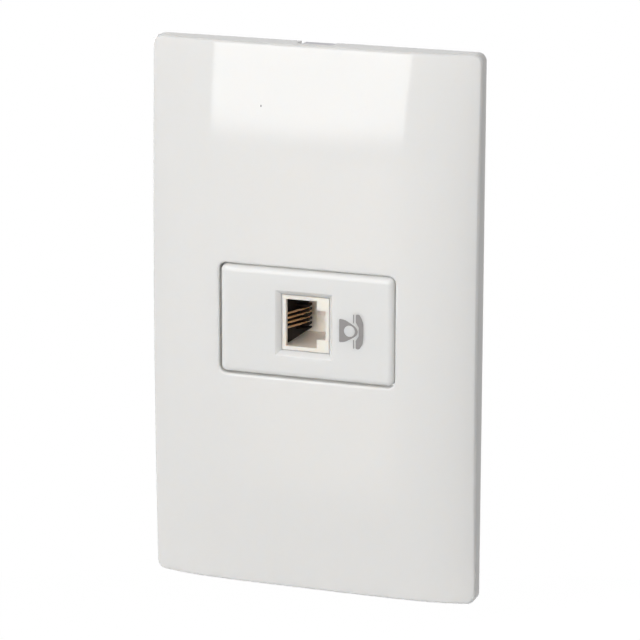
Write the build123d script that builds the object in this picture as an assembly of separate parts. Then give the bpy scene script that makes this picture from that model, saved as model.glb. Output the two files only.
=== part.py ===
from build123d import *
import os

# Telephone wall socket for a 4 x 2 inch wall box. All sizes are in millimetres.
# X runs to the right, Y from the front towards the wall box and Z up. The wall's surface is the plane Y = 0,
# and the origin lies midway between the two screw slots of the support frame.

# Cover plate
plate_width = 73.0
plate_height = 118.0
plate_skin = 2.0
plate_rim_wall = 1.8
plate_corner_r = 1.8
cavity_corner_r = 0.4
plate_edge_bevel = 0.4
window_edge_bevel = 0.3
rim_lift = 0.8
side_depth_mid = 4.05
side_depth_end = 2.8
crown_depth_mid = 8.15
crown_depth_end = 5.73
crown_power = 5.0
crown_columns = 28
crown_rows = 12
crown_fit = 0.002
stave_places = (0.62, 0.86)
collar_wall = 1.2
plate_rib_wall = 1.0
plate_rib_height = 1.2

# Pry notch in the top and bottom rim, and the frame's lug in it
notch_width = 8.0
notch_depth = 3.0
lug_width = 6.6
lug_end_gap = 0.2
lug_sink = 0.3

# Snap hooks of the plate and their slots in the frame
hook_z = 25.0
hook_width = 8.0
hook_thick = 1.5
hook_barb = 0.8
hook_lead = 0.6
hook_clearance = 0.25
hook_ledge = 0.9

# Support frame
screw_spacing = 83.3
screw_slot_r = 2.2
screw_slot_length = 6.0
frame_edge_gap = 1.2
frame_corner_r = 4.0
frame_rib_wall = 1.2
plate_gap = 0.35
strap_gap = 0.6
rail_wall = 2.4
rail_overlap = 0.85
end_bar = 1.5
module_pitch = 24.0
module_places = 3
barb_seat_depth = 1.2
barb_seat_width = 10.0

# Module housing
face_width = 38.9
face_height = 23.45
face_corner_r = 1.4
face_wall = 2.0
window_gap = 0.35
body_wall = 1.3
body_gap = 0.35
head_step = 0.5
seat_gap = 0.05
arm_width = 8.0
arm_slot = 0.8
arm_length = 8.0
arm_barb = 1.0
arm_barb_length = 1.6

# Bevelled recess round the jack
jack_centre_x = -0.45
recess_bevel = 1.05
recess_depth = 1.15
nose_gap = 0.1

# Jack housing
mouth_width = 6.9
mouth_height = 10.2
keyway_width = 1.95
keyway_height = 6.4
nose_rim = 0.89
nose_rim_keyway = 0.8
nose_rim_height = 0.85
lip_wall = 0.9
jack_side_wall = 1.5
jack_latch_wall = 1.2
jack_back_wall = 1.2
jack_depth = 14.0
latch_pocket_height = 9.0
latch_pocket_depth = 5.5
peg_r = 1.0
peg_z = 5.0
fit_gap = 0.05

# Contact carrier and contact wires
carrier_step = 0.45
carrier_thick = 1.5
comb_slots = 6
comb_slot_width = 0.6
comb_edge = 0.3
comb_reach = 2.75
comb_depth = 6.15
comb_length = 2.4
wire_count = 4
wire_pitch = 1.02
wire_r = 0.25
wire_slope = 0.36
wire_bend_cut = 0.4
wire_groove_gap = 0.05
wire_lip_gap = 0.12
wire_tail = 0.7

# Circuit board
board_thick = 1.6
board_gap = 0.35
board_standoff = 1.25
hole_gap = 0.1
post_width = 4.6
post_inset_x = 3.4
post_inset_z = 3.3
post_hole_depth = 6.0
board_screw_r = 0.95
board_screw_length = 6.5
board_screw_head_r = 1.9
board_screw_head = 1.3
drive_slot_width = 0.5

# Screw terminals
pole_pitch = 5.08
poles = 4
terminal_height = 9.6
terminal_depth = 7.5
terminal_wall = 0.9
terminal_base = 0.6
terminal_drop = 0.3
chamber_width = 4.2
chamber_height = 6.7
entry_width = 3.2
entry_height = 3.0
cage_width = 3.9
cage_length = 4.2
cage_height = 5.7
cage_wall = 0.7
cage_top = 1.2
tongue_width = 2.3
tongue_thick = 0.8
leg_width = 1.0
leg_tail = 0.9
screw_r = 1.25
screw_head_r = 1.85
screw_head = 1.5
screw_bridge = 0.6

# How far a cutting block runs past the surface that it cuts
overcut = 1.0

# Levels along Y
rim_y = -rim_lift
face_y = -(rim_lift + crown_depth_mid)
nose_y = face_y + recess_depth
face_back_y = face_y + face_wall
lip_back_y = nose_y + lip_wall
cavity_end_y = nose_y + jack_depth
jack_back_y = cavity_end_y + jack_back_wall
board_y = jack_back_y + board_standoff
board_back_y = board_y + board_thick
terminal_end_y = board_back_y + terminal_height
ahead_y = 2 * face_y


def front_depth(x, z):
    """Depth of the plate from its rim to its crowned front, at one place."""
    along = (2 * z / plate_height) ** 2
    side = side_depth_mid + (side_depth_end - side_depth_mid) * along
    crown = crown_depth_mid + (crown_depth_end - crown_depth_mid) * along
    across = abs(2 * x / plate_width) ** crown_power
    return crown + (side - crown) * across


def front_y(x, z, inset=0.0):
    """Y of the plate's front, or of a surface that lies inset behind it."""
    return inset - rim_lift - front_depth(x, z)


# Places across the part
window_width = face_width + 2 * window_gap
window_height = face_height + 2 * window_gap
window_corner_r = face_corner_r + window_gap
cavity_half_x = plate_width / 2 - plate_rim_wall
cavity_half_z = plate_height / 2 - plate_rim_wall
frame_half_x = cavity_half_x - frame_edge_gap
frame_half_z = cavity_half_z - frame_edge_gap
rail_inner_x = face_width / 2 - rail_overlap
rail_outer_x = rail_inner_x + rail_wall
rail_inner_z = module_places * module_pitch / 2 + window_gap
rail_outer_z = rail_inner_z + end_bar
rail_front_y = front_y(rail_outer_x, rail_outer_z, plate_skin) + plate_gap
strap_front_y = front_y(frame_half_x, frame_half_z, plate_skin) + strap_gap
hook_x = (rail_outer_x + frame_half_x) / 2
body_half_x = rail_inner_x - body_gap
body_half_z = face_height / 2 - head_step
inner_half_x = body_half_x - body_wall
inner_half_z = body_half_z - body_wall

nose_width = nose_rim + mouth_width + keyway_width + nose_rim_keyway
nose_height = mouth_height + 2 * nose_rim_height
nose_left = jack_centre_x - nose_width / 2
mouth_left = nose_left + nose_rim
mouth_right = mouth_left + mouth_width
keyway_right = mouth_right + keyway_width
carrier_face_x = mouth_left - carrier_step
carrier_back_x = carrier_face_x - carrier_thick
jack_right = keyway_right + jack_latch_wall
jack_half_z = mouth_height / 2 + jack_side_wall
peg_x = (carrier_back_x + jack_right) / 2

wire_leg_x = carrier_back_x + wire_r + wire_groove_gap
wire_front_y = lip_back_y + wire_lip_gap + wire_r
comb_y = nose_y + comb_depth + recess_depth - fit_gap
wire_z = [(i - (wire_count - 1) / 2) * wire_pitch for i in range(wire_count)]
comb_z = [(i - (comb_slots - 1) / 2) * wire_pitch for i in range(comb_slots)]
pole_x = [(i - (poles - 1) / 2) * pole_pitch for i in range(poles)]

board_half_x = inner_half_x - board_gap
board_half_z = inner_half_z - board_gap
post_x = board_half_x - post_inset_x
post_z = board_half_z - post_inset_z
terminal_low_z = -board_half_z - terminal_drop
terminal_high_z = terminal_low_z + terminal_depth
cage_y = board_back_y + terminal_base + hole_gap
cage_low_z = terminal_low_z + terminal_wall + hole_gap
cage_high_z = cage_low_z + cage_length
leg_z = cage_high_z + hole_gap + tongue_thick / 2
tongue_back_y = cage_y + cage_height - cage_top - fit_gap
screw_seat_y = board_back_y + terminal_base + chamber_height + screw_bridge


def slab(x0, x1, y0, y1, z0, z1):
    """A block between two corners."""
    block = Box(x1 - x0, y1 - y0, z1 - z0)
    return Pos((x0 + x1) / 2, (y0 + y1) / 2, (z0 + z1) / 2) * block


def facing_back(x, y, z):
    """A plane at a point, with its normal along +Y and its own x axis along +X."""
    return Plane(origin=(x, y, z), x_dir=(1, 0, 0), z_dir=(0, 1, 0))


def prism(shape, y0, y1):
    """A flat shape drawn in X and Z, raised from y0 to y1."""
    return extrude(facing_back(0, y0, 0) * shape, y1 - y0)


def rod(x, z, radius, y0, y1):
    """A round rod along Y."""
    return prism(Pos(x, -z) * Circle(radius), y0, y1)


def rounded(width, height, radius):
    return RectangleRounded(width, height, radius)


def rounded_blank(half_x, half_z, corner_r, back_y):
    """A rounded block from well in front of the part to back_y."""
    return prism(rounded(2 * half_x, 2 * half_z, corner_r), ahead_y, back_y)


def crowned_block(half_x, half_z, corner_r, back_y):
    """A block whose front is the plate's crown and whose back is flat."""
    reach_x = half_x + overcut
    reach_z = half_z + overcut
    columns = [reach_x * (2 * i / crown_columns - 1) for i in range(crown_columns + 1)]
    rows = [reach_z * (2 * k / crown_rows - 1) for k in range(crown_rows + 1)]
    grid = [[(x, front_y(x, z), z) for x in columns] for z in rows]
    crown = Face.make_surface_from_array_of_points(grid, tol=crown_fit)
    swept = extrude(crown, -ahead_y, dir=(0, 1, 0))
    return rounded_blank(half_x, half_z, corner_r, back_y) & swept


def stave(x, half_z, inset):
    """What lies behind one lengthwise strip that touches the inset crown along the line at x."""
    reach_z = half_z + overcut
    step = plate_width / 100
    slope = (front_y(x + step, reach_z / 2) - front_y(x - step, reach_z / 2)) / (2 * step)
    line = [(x, front_y(x, z, inset), z) for z in (-reach_z, 0, reach_z)]
    deep = [(x, -ahead_y, reach_z), (x, -ahead_y, -reach_z)]
    section = make_face(ThreePointArc(*line) + Polyline(line[2], *deep, line[0]))
    return extrude(section, plate_width, dir=(1, slope, 0), both=True)


def staved_block(half_x, half_z, corner_r, inset, back_y):
    """A block whose front follows the crown in five lengthwise staves, inset behind it."""
    half = rounded_blank(half_x, half_z, corner_r, back_y) & stave(0, half_z, inset)
    for place in stave_places:
        half &= stave(-place * plate_width / 2, half_z, inset)
    half &= slab(-half_x, 0, ahead_y, back_y, -half_z, half_z)
    return half + mirror(half, Plane.YZ)


def at_corners(x, z, make):
    """Four copies of a piece, mirrored about both middle planes."""
    one = make(x, z)
    right = Part() + one + mirror(one, Plane.XY)
    return right + mirror(right, Plane.YZ)


def snap_hook(x, z):
    """A hook of the cover plate: a shank with a barb that points outwards."""
    root_y = front_y(x + hook_thick, z + hook_width / 2, plate_skin / 2)
    barb_y = strap_front_y + hook_ledge + hook_clearance
    tip_y = barb_y + hook_lead
    profile = Polyline(
        (x, root_y),
        (x + hook_thick, root_y),
        (x + hook_thick, barb_y),
        (x + hook_thick + hook_barb, barb_y),
        (x + hook_thick, tip_y),
        (x, tip_y),
        close=True,
    )
    face = make_face(profile)
    return Pos(0, 0, z - hook_width / 2) * extrude(face, hook_width, dir=(0, 0, 1))


def make_cover_plate():
    window = rounded(window_width, window_height, window_corner_r)
    shell = crowned_block(plate_width / 2, plate_height / 2, plate_corner_r, rim_y)
    solid_front = shell.faces().sort_by(Axis.Y)[0]
    shell = chamfer(solid_front.edges(), plate_edge_bevel)
    shell -= prism(window, ahead_y, overcut)
    front = shell.faces().sort_by(Axis.Y)[0]
    shell = chamfer(front.inner_wires()[0].edges(), window_edge_bevel)
    cavity = (cavity_half_x, cavity_half_z, cavity_corner_r)
    room = staved_block(*cavity, plate_skin, 0.0)
    rib_room = room - staved_block(*cavity, plate_skin + plate_rib_height, overcut)
    collar_y = rail_front_y - plate_gap
    collar_outline = rounded(
        window_width + 2 * collar_wall,
        window_height + 2 * collar_wall,
        window_corner_r + collar_wall,
    )
    collar = prism(collar_outline, front_y(0, 0, plate_skin / 2), collar_y) - prism(window, ahead_y, overcut)
    plate = shell - room + (plate_ribs() & rib_room) + collar
    plate += at_corners(hook_x - hook_thick / 2, hook_z, snap_hook)
    for side in (-1, 1):
        rim_mid_z = side * (plate_height / 2 - plate_rim_wall / 2)
        plate -= slab(
            -notch_width / 2,
            notch_width / 2,
            rim_y - notch_depth,
            overcut,
            rim_mid_z - plate_rim_wall / 2 - fit_gap,
            rim_mid_z + plate_rim_wall / 2 + fit_gap,
        )
    return plate


def plate_ribs():
    """Stiffening ribs behind the front skin, clear of the frame's strap, rails and ribs."""
    low_y = strap_front_y - plate_gap
    half = plate_rib_wall / 2
    ribs = Part()
    for side in (-1, 1):
        end_z = side * (cavity_half_z + rail_outer_z) / 2
        ribs += slab(-hook_x, hook_x, ahead_y, low_y, end_z - half, end_z + half)
        for x in (-rail_inner_x / 2, rail_inner_x / 2):
            low_z, high_z = sorted((side * (rail_outer_z + plate_gap), side * cavity_half_z))
            ribs += slab(x - half, x + half, ahead_y, low_y, low_z, high_z)
        for z in (-module_pitch / 4, module_pitch / 4):
            low_x, high_x = sorted((side * (rail_outer_x + plate_gap), side * hook_x))
            ribs += slab(low_x, high_x, ahead_y, low_y, z - half, z + half)
    return ribs


def hook_slot(x, z):
    """A stepped slot in the frame: narrow in front, wider behind, so that the barb has a ledge."""
    half_z = hook_width / 2 + hook_clearance
    inner_x = x - hook_clearance
    ledge_x = x + hook_thick + hook_clearance
    ledge_y = strap_front_y + hook_ledge
    throat = slab(inner_x - hook_barb, ledge_x, face_y, overcut, z - half_z, z + half_z)
    return throat + slab(inner_x, ledge_x + hook_barb, ledge_y, overcut, z - half_z, z + half_z)


def frame_lug(side):
    """A lug that fills the pry notch of the plate."""
    low_z, high_z = sorted((side * (frame_half_z - frame_corner_r), side * (plate_height / 2 - lug_sink)))
    half = lug_width / 2
    return slab(-half, half, rim_y - notch_depth + lug_end_gap, 0, low_z, high_z)


def make_support_frame():
    rib_inset = plate_skin + plate_rib_height + plate_gap
    room = staved_block(cavity_half_x, cavity_half_z, frame_corner_r, rib_inset, 0.0)
    strap = prism(rounded(2 * frame_half_x, 2 * frame_half_z, frame_corner_r), strap_front_y, 0)
    ring = prism(rounded(2 * rail_outer_x, 2 * rail_outer_z, rail_wall), rail_front_y, 0)
    ribs = Part()
    for place in range(module_places + 1):
        z = (place - module_places / 2) * module_pitch
        rib = slab(-frame_half_x, frame_half_x, face_y, 0, z - frame_rib_wall / 2, z + frame_rib_wall / 2)
        ribs += rib & room
    opening = prism(Rectangle(2 * rail_inner_x, 2 * rail_inner_z), face_y, overcut)
    frame = strap + ring + ribs + frame_lug(1) + frame_lug(-1) - opening
    frame -= at_corners(hook_x - hook_thick / 2, hook_z, hook_slot)
    slot = SlotOverall(screw_slot_length, 2 * screw_slot_r, rotation=90)
    for side in (-1, 1):
        frame -= prism(Pos(0, side * screw_spacing / 2) * slot, face_y, overcut)
    seat_half_x = body_half_x + arm_barb + body_gap
    for place in range(module_places):
        z = (place - (module_places - 1) / 2) * module_pitch
        frame -= slab(
            -seat_half_x,
            seat_half_x,
            -barb_seat_depth,
            overcut,
            z - barb_seat_width / 2,
            z + barb_seat_width / 2,
        )
    return frame


def snap_arm_cuts(side):
    """The slots that free one spring arm from the side wall of the module housing."""
    root_y = rail_front_y + head_step
    end_y = root_y + arm_length
    low_x, high_x = sorted((side * (inner_half_x - overcut), side * (body_half_x + overcut)))
    outer = arm_width / 2 + arm_slot
    cuts = slab(low_x, high_x, root_y, end_y + arm_slot, -outer, outer)
    return cuts - slab(low_x, high_x, root_y, end_y, -arm_width / 2, arm_width / 2)


def snap_arm_barb(side):
    """A wedge that clicks behind the frame's rail."""
    seat_y = -barb_seat_depth + seat_gap
    root_x = body_half_x - fit_gap
    wedge = Polyline(
        (root_x, seat_y),
        (body_half_x + arm_barb, seat_y),
        (body_half_x + arm_barb, seat_y + arm_barb_length / 3),
        (root_x, seat_y + arm_barb_length),
        close=True,
    )
    barb = Pos(0, 0, -arm_width / 2) * extrude(make_face(wedge), arm_width, dir=(0, 0, 1))
    return barb if side > 0 else mirror(barb, Plane.YZ)


def make_module_housing():
    head_back_y = rail_front_y - seat_gap
    head = prism(Rectangle(face_width, face_height), face_y, head_back_y)
    front_edges = head.faces().sort_by(Axis.Y)[0].edges()
    head = fillet(front_edges + head.edges().filter_by(Axis.Y), face_corner_r)
    body = prism(Rectangle(2 * body_half_x, 2 * body_half_z), face_back_y - face_wall / 2, board_back_y)
    hollow = prism(Rectangle(2 * inner_half_x, 2 * inner_half_z), face_back_y, board_back_y + overcut)
    housing = head + body - hollow
    for side in (-1, 1):
        housing -= snap_arm_cuts(side)
        housing += snap_arm_barb(side)
    housing -= recess()
    housing += jack_cradle()
    housing += at_corners(post_x, post_z, board_post)
    for x, z in screwed_corners():
        housing -= rod(x, z, board_screw_r + fit_gap, board_y - post_hole_depth, board_y + overcut)
    return housing


def recess():
    """The bevelled recess in the face and the square opening that takes the jack's nose."""
    opening_width = nose_width + 2 * nose_gap
    opening_height = nose_height + 2 * nose_gap
    outer = facing_back(jack_centre_x, face_y, 0) * Rectangle(
        opening_width + 2 * recess_bevel, opening_height + 2 * recess_bevel
    )
    inner = facing_back(jack_centre_x, nose_y, 0) * Rectangle(opening_width, opening_height)
    hole = prism(Rectangle(opening_width, opening_height), nose_y, face_back_y + overcut)
    return loft([outer, inner]) + Pos(jack_centre_x, 0, 0) * hole


def jack_cradle():
    """Two short walls inside the housing that keep the jack from shifting sideways."""
    low_y = face_back_y - fit_gap
    high_y = low_y + jack_depth / 2
    left = carrier_back_x - nose_gap
    right = jack_right + nose_gap
    walls = slab(left - body_wall, left, low_y, high_y, -jack_half_z, jack_half_z)
    return walls + slab(right, right + body_wall, low_y, high_y, -jack_half_z, jack_half_z)


def board_post(x, z):
    """A square post inside the housing that carries one corner of the board."""
    half = post_width / 2
    return slab(x - half, x + half, face_back_y - fit_gap, board_y, z - half, z + half)


def screwed_corners():
    return [(-post_x, post_z), (post_x, -post_z)]


def make_jack_housing():
    shoulder_y = face_back_y + fit_gap
    half_nose = nose_height / 2
    nose = slab(nose_left, nose_left + nose_width, nose_y, shoulder_y + overcut, -half_nose, half_nose)
    body = slab(carrier_back_x, jack_right, shoulder_y, jack_back_y, -jack_half_z, jack_half_z)
    half_mouth = mouth_height / 2
    mouth = slab(mouth_left, mouth_right, nose_y - overcut, cavity_end_y, -half_mouth, half_mouth)
    keyway = slab(
        mouth_right - overcut,
        keyway_right,
        nose_y - overcut,
        cavity_end_y,
        -keyway_height / 2,
        keyway_height / 2,
    )
    pocket = slab(
        mouth_right - overcut,
        keyway_right,
        lip_back_y,
        lip_back_y + latch_pocket_depth,
        -latch_pocket_height / 2,
        latch_pocket_height / 2,
    )
    carrier_room = slab(
        carrier_back_x - overcut,
        carrier_face_x + fit_gap,
        lip_back_y,
        jack_back_y + overcut,
        -half_mouth,
        half_mouth,
    )
    lip_right = mouth_left + overcut
    behind_lip = slab(carrier_face_x, lip_right, lip_back_y, cavity_end_y, -half_mouth, half_mouth)
    jack = nose + body - mouth - keyway - pocket - carrier_room - behind_lip
    for z in (-peg_z, peg_z):
        jack += rod(peg_x, z, peg_r, jack_back_y - fit_gap, board_back_y - fit_gap)
    return jack


def make_contact_carrier():
    half = mouth_height / 2 - fit_gap
    front_edge_y = lip_back_y + fit_gap
    carrier = slab(carrier_back_x, carrier_face_x, front_edge_y, jack_back_y, -half, half)
    comb_half = comb_z[-1] + comb_slot_width / 2 + comb_edge
    carrier += slab(
        carrier_face_x - carrier_thick / 3,
        carrier_face_x + comb_reach,
        comb_y,
        comb_y + comb_length,
        -comb_half,
        comb_half,
    )
    for z in comb_z:
        half_slot = comb_slot_width / 2
        carrier -= slab(
            carrier_face_x + fit_gap,
            carrier_face_x + comb_reach + overcut,
            comb_y - overcut,
            comb_y + comb_length + overcut,
            z - half_slot,
            z + half_slot,
        )
    groove = wire_r + wire_groove_gap
    groove_end_y = wire_front_y + (wire_r / 3 + groove * (1 + wire_slope**2) ** 0.5) / wire_slope
    for z in wire_z:
        carrier -= slab(
            carrier_back_x - overcut,
            wire_leg_x + groove,
            front_edge_y - overcut,
            jack_back_y + overcut,
            z - groove,
            z + groove,
        )
        carrier -= slab(
            carrier_back_x - overcut,
            carrier_face_x + overcut,
            front_edge_y - overcut,
            groove_end_y,
            z - groove,
            z + groove,
        )
    return carrier


def make_contact_wire(z):
    """A spring wire: a tip in the comb, a slope to the front, a turn and a straight leg to the board."""
    bend_x = carrier_face_x - wire_r / 3
    tip_y = comb_y + comb_length / 2
    tip_x = bend_x + wire_slope * (tip_y - wire_front_y)
    path = Polyline(
        (tip_x, tip_y, z),
        (bend_x + wire_slope * wire_bend_cut, wire_front_y + wire_bend_cut, z),
        ((bend_x + wire_leg_x) / 2, wire_front_y, z),
        (wire_leg_x, wire_front_y + wire_bend_cut, z),
        (wire_leg_x, board_back_y + wire_tail, z),
    )
    start = Plane(origin=path @ 0, z_dir=path % 0)
    return sweep(start * Circle(wire_r), path=path, transition=Transition.RIGHT)


def make_circuit_board():
    board = slab(-board_half_x, board_half_x, board_y, board_back_y, -board_half_z, board_half_z)
    low_y = board_y - overcut
    high_y = board_back_y + overcut
    leg_half_x = leg_width / 2 + hole_gap
    leg_half_z = tongue_thick / 2 + hole_gap
    for z in wire_z:
        board -= rod(wire_leg_x, z, wire_r + hole_gap, low_y, high_y)
    for x in pole_x:
        board -= slab(x - leg_half_x, x + leg_half_x, low_y, high_y, leg_z - leg_half_z, leg_z + leg_half_z)
    for z in (-peg_z, peg_z):
        board -= rod(peg_x, z, peg_r + fit_gap, low_y, high_y)
    for x, z in screwed_corners():
        board -= rod(x, z, board_screw_r + hole_gap, low_y, high_y)
    return board


def make_terminal_body():
    half_x = poles * pole_pitch / 2 + terminal_wall / 2
    body = slab(-half_x, half_x, board_back_y, terminal_end_y, terminal_low_z, terminal_high_z)
    top_edges = body.faces().sort_by(Axis.Y)[-1].edges().filter_by(Axis.X)
    body = chamfer(top_edges, terminal_wall / 2)
    chamber_y = board_back_y + terminal_base
    entry_y = cage_y + cage_wall
    low_z = terminal_low_z + terminal_wall
    high_z = leg_z + tongue_thick / 2 + fit_gap
    screw_z = (cage_low_z + cage_high_z) / 2
    for x in pole_x:
        body -= slab(
            x - chamber_width / 2,
            x + chamber_width / 2,
            chamber_y,
            chamber_y + chamber_height,
            low_z,
            high_z,
        )
        body -= slab(
            x - entry_width / 2,
            x + entry_width / 2,
            entry_y,
            entry_y + entry_height,
            terminal_low_z - overcut,
            low_z + overcut,
        )
        body -= slab(
            x - leg_width / 2 - fit_gap,
            x + leg_width / 2 + fit_gap,
            board_back_y - overcut,
            chamber_y + overcut,
            leg_z - tongue_thick / 2 - fit_gap,
            high_z,
        )
        body -= rod(x, screw_z, screw_r + hole_gap, chamber_y, terminal_end_y + overcut)
        body -= rod(x, screw_z, screw_head_r + hole_gap, screw_seat_y, terminal_end_y + overcut)
    return body


def make_terminal_cage(x):
    """A square clamp cage, open along Z for the lead, with a screw hole in its top wall."""
    half = cage_width / 2
    cage = slab(x - half, x + half, cage_y, cage_y + cage_height, cage_low_z, cage_high_z)
    cage -= slab(
        x - half + cage_wall,
        x + half - cage_wall,
        cage_y + cage_wall,
        cage_y + cage_height - cage_top,
        cage_low_z - overcut,
        cage_high_z + overcut,
    )
    screw_z = (cage_low_z + cage_high_z) / 2
    return cage - rod(x, screw_z, screw_r + fit_gap, tongue_back_y, cage_y + cage_height + overcut)


def make_terminal_tongue(x):
    """A bent bar: a flat tongue inside the cage and a narrow leg through the board."""
    front_z = cage_low_z + hole_gap
    back_z = leg_z + tongue_thick / 2
    tongue_half = tongue_width / 2
    leg_half = leg_width / 2
    tongue = slab(
        x - tongue_half, x + tongue_half, tongue_back_y - tongue_thick, tongue_back_y, front_z, back_z
    )
    leg = slab(x - leg_half, x + leg_half, board_y - leg_tail, tongue_back_y, back_z - tongue_thick, back_z)
    return tongue + leg


def slotted_screw(x, z, shank_r, head_r, tip_y, seat_y, head_height):
    """A cheese-headed screw along Y with a straight drive slot."""
    screw = rod(x, z, shank_r, tip_y, seat_y + fit_gap) + rod(x, z, head_r, seat_y, seat_y + head_height)
    slot_y = seat_y + head_height / 2
    half = drive_slot_width / 2
    return screw - slab(x - head_r, x + head_r, slot_y, seat_y + head_height + overcut, z - half, z + half)


def make_terminal_screw(x):
    screw_z = (cage_low_z + cage_high_z) / 2
    tip_y = tongue_back_y + fit_gap
    seat_y = screw_seat_y + fit_gap
    return slotted_screw(x, screw_z, screw_r, screw_head_r, tip_y, seat_y, screw_head)


def make_board_screw(x, z):
    seat_y = board_back_y + fit_gap
    tip_y = seat_y - board_screw_length
    return slotted_screw(x, z, board_screw_r, board_screw_head_r, tip_y, seat_y, board_screw_head)


def write(part, name):
    export_step(part, f"parts/{name}.step")
    print(name, round(part.volume, 2))


os.makedirs("parts", exist_ok=True)
write(make_cover_plate(), "cover_plate")
write(make_support_frame(), "support_frame")
write(make_module_housing(), "module_housing")
write(make_jack_housing(), "jack_housing")
write(make_contact_carrier(), "contact_carrier")
for number, z in enumerate(wire_z, 1):
    write(make_contact_wire(z), f"contact_wire_{number}")
write(make_circuit_board(), "circuit_board")
write(make_terminal_body(), "terminal_body")
for number, x in enumerate(pole_x, 1):
    write(make_terminal_cage(x), f"terminal_cage_{number}")
    write(make_terminal_tongue(x), f"terminal_tongue_{number}")
    write(make_terminal_screw(x), f"terminal_screw_{number}")
for number, (x, z) in enumerate(screwed_corners(), 1):
    write(make_board_screw(x, z), f"board_screw_{number}")
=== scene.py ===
from math import cos, pi, radians, sin, sqrt, tan

import bmesh
import bpy
from bpy.props import FloatProperty, FloatVectorProperty, IntProperty, PointerProperty
from mathutils import Matrix, Vector


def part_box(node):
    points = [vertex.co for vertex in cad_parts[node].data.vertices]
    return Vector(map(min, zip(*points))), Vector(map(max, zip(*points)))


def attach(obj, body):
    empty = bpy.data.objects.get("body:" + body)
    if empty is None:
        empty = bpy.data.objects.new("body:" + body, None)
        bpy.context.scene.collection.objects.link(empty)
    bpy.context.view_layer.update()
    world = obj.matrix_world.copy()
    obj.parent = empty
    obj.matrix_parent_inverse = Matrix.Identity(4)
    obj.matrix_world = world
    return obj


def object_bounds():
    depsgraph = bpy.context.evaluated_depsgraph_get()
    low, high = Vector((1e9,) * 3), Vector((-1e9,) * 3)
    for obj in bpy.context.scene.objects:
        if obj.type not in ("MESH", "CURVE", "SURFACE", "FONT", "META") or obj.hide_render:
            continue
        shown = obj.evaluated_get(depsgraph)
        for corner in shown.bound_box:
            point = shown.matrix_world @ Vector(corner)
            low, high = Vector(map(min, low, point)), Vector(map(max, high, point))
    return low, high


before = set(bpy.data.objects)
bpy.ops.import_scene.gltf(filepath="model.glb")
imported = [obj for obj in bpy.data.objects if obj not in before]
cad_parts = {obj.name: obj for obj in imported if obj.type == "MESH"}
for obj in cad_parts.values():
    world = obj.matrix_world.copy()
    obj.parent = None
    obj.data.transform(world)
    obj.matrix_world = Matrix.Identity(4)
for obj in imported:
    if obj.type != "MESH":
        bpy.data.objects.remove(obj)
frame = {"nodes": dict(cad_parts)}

bl_info = {
    "name": "Telephone Wall Socket",
    "version": (1, 0, 0),
    "blender": (4, 5, 0),
    "location": "3D View > Sidebar > Wall Socket",
    "description": "Finishes, sign, tracks and solder of a telephone wall socket, with its studio",
    "category": "Object",
}

# X runs to the right, Y from the front towards the wall box and Z up, all in metres.
mm = 0.001
cad_low, cad_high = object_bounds()
image_side = 640
sensor_side = 36.0
merge_reach = 0.0005 * mm

face_low, face_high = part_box("module_housing")
board_low, board_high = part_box("circuit_board")
face_y = face_low.y
board_back_y = board_high.y


# Settings that a user would change

def length(name, description, metres):
    return FloatProperty(name=name, description=description, default=metres, unit="LENGTH", precision=5)


def turn(name, description, degrees):
    return FloatProperty(name=name, description=description, default=radians(degrees), subtype="ANGLE")


def tint(name, description, colour):
    return FloatVectorProperty(
        name=name, description=description, default=colour, subtype="COLOR", size=3, min=0.0, max=1.0
    )


def strength(name, description, value):
    return FloatProperty(name=name, description=description, default=value, min=0.0)


class PlasticColours(bpy.types.PropertyGroup):
    plate: tint("Cover plate", "Polished white of the cover plate", (0.835, 0.826, 0.808))
    module: tint("Module", "White of the module housing", (0.825, 0.822, 0.808))
    frame: tint("Support frame", "Cooler white of the frame behind the plate", (0.72, 0.71, 0.75))
    jack: tint("Jack", "Natural nylon of the jack housing", (0.98, 0.87, 0.785))
    carrier: tint("Contact carrier", "Black holder of the contact wires", (0.011, 0.007, 0.005))
    terminal: tint("Terminal body", "Grey of the screw terminals", (0.17, 0.185, 0.195))
    ink: tint("Sign ink", "Grey ink of the printed sign", (0.30, 0.285, 0.28))
    fleck: tint("Fleck", "Dust fleck on the plate", (0.10, 0.095, 0.085))


class MetalColours(bpy.types.PropertyGroup):
    gold: tint("Contact wires", "Thin gold plate over bronze", (1.0, 0.72, 0.46))
    bare_bronze: tint("Worn contacts", "Bronze that shows where the gold is thin", (0.74, 0.48, 0.31))
    nickel: tint("Clamp cages", "Nickel plate", (0.52, 0.49, 0.43))
    tin: tint("Contact bars", "Dull tin plate", (0.56, 0.56, 0.54))
    zinc: tint("Screws", "Bright zinc plate", (0.55, 0.56, 0.57))
    solder: tint("Solder", "Bright solder of the joints", (0.66, 0.66, 0.65))
    mask: tint("Board lacquer", "Green lacquer of the circuit board", (0.012, 0.125, 0.045))
    masked_track: tint("Track", "Copper track under the green lacquer", (0.035, 0.24, 0.075))


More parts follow.
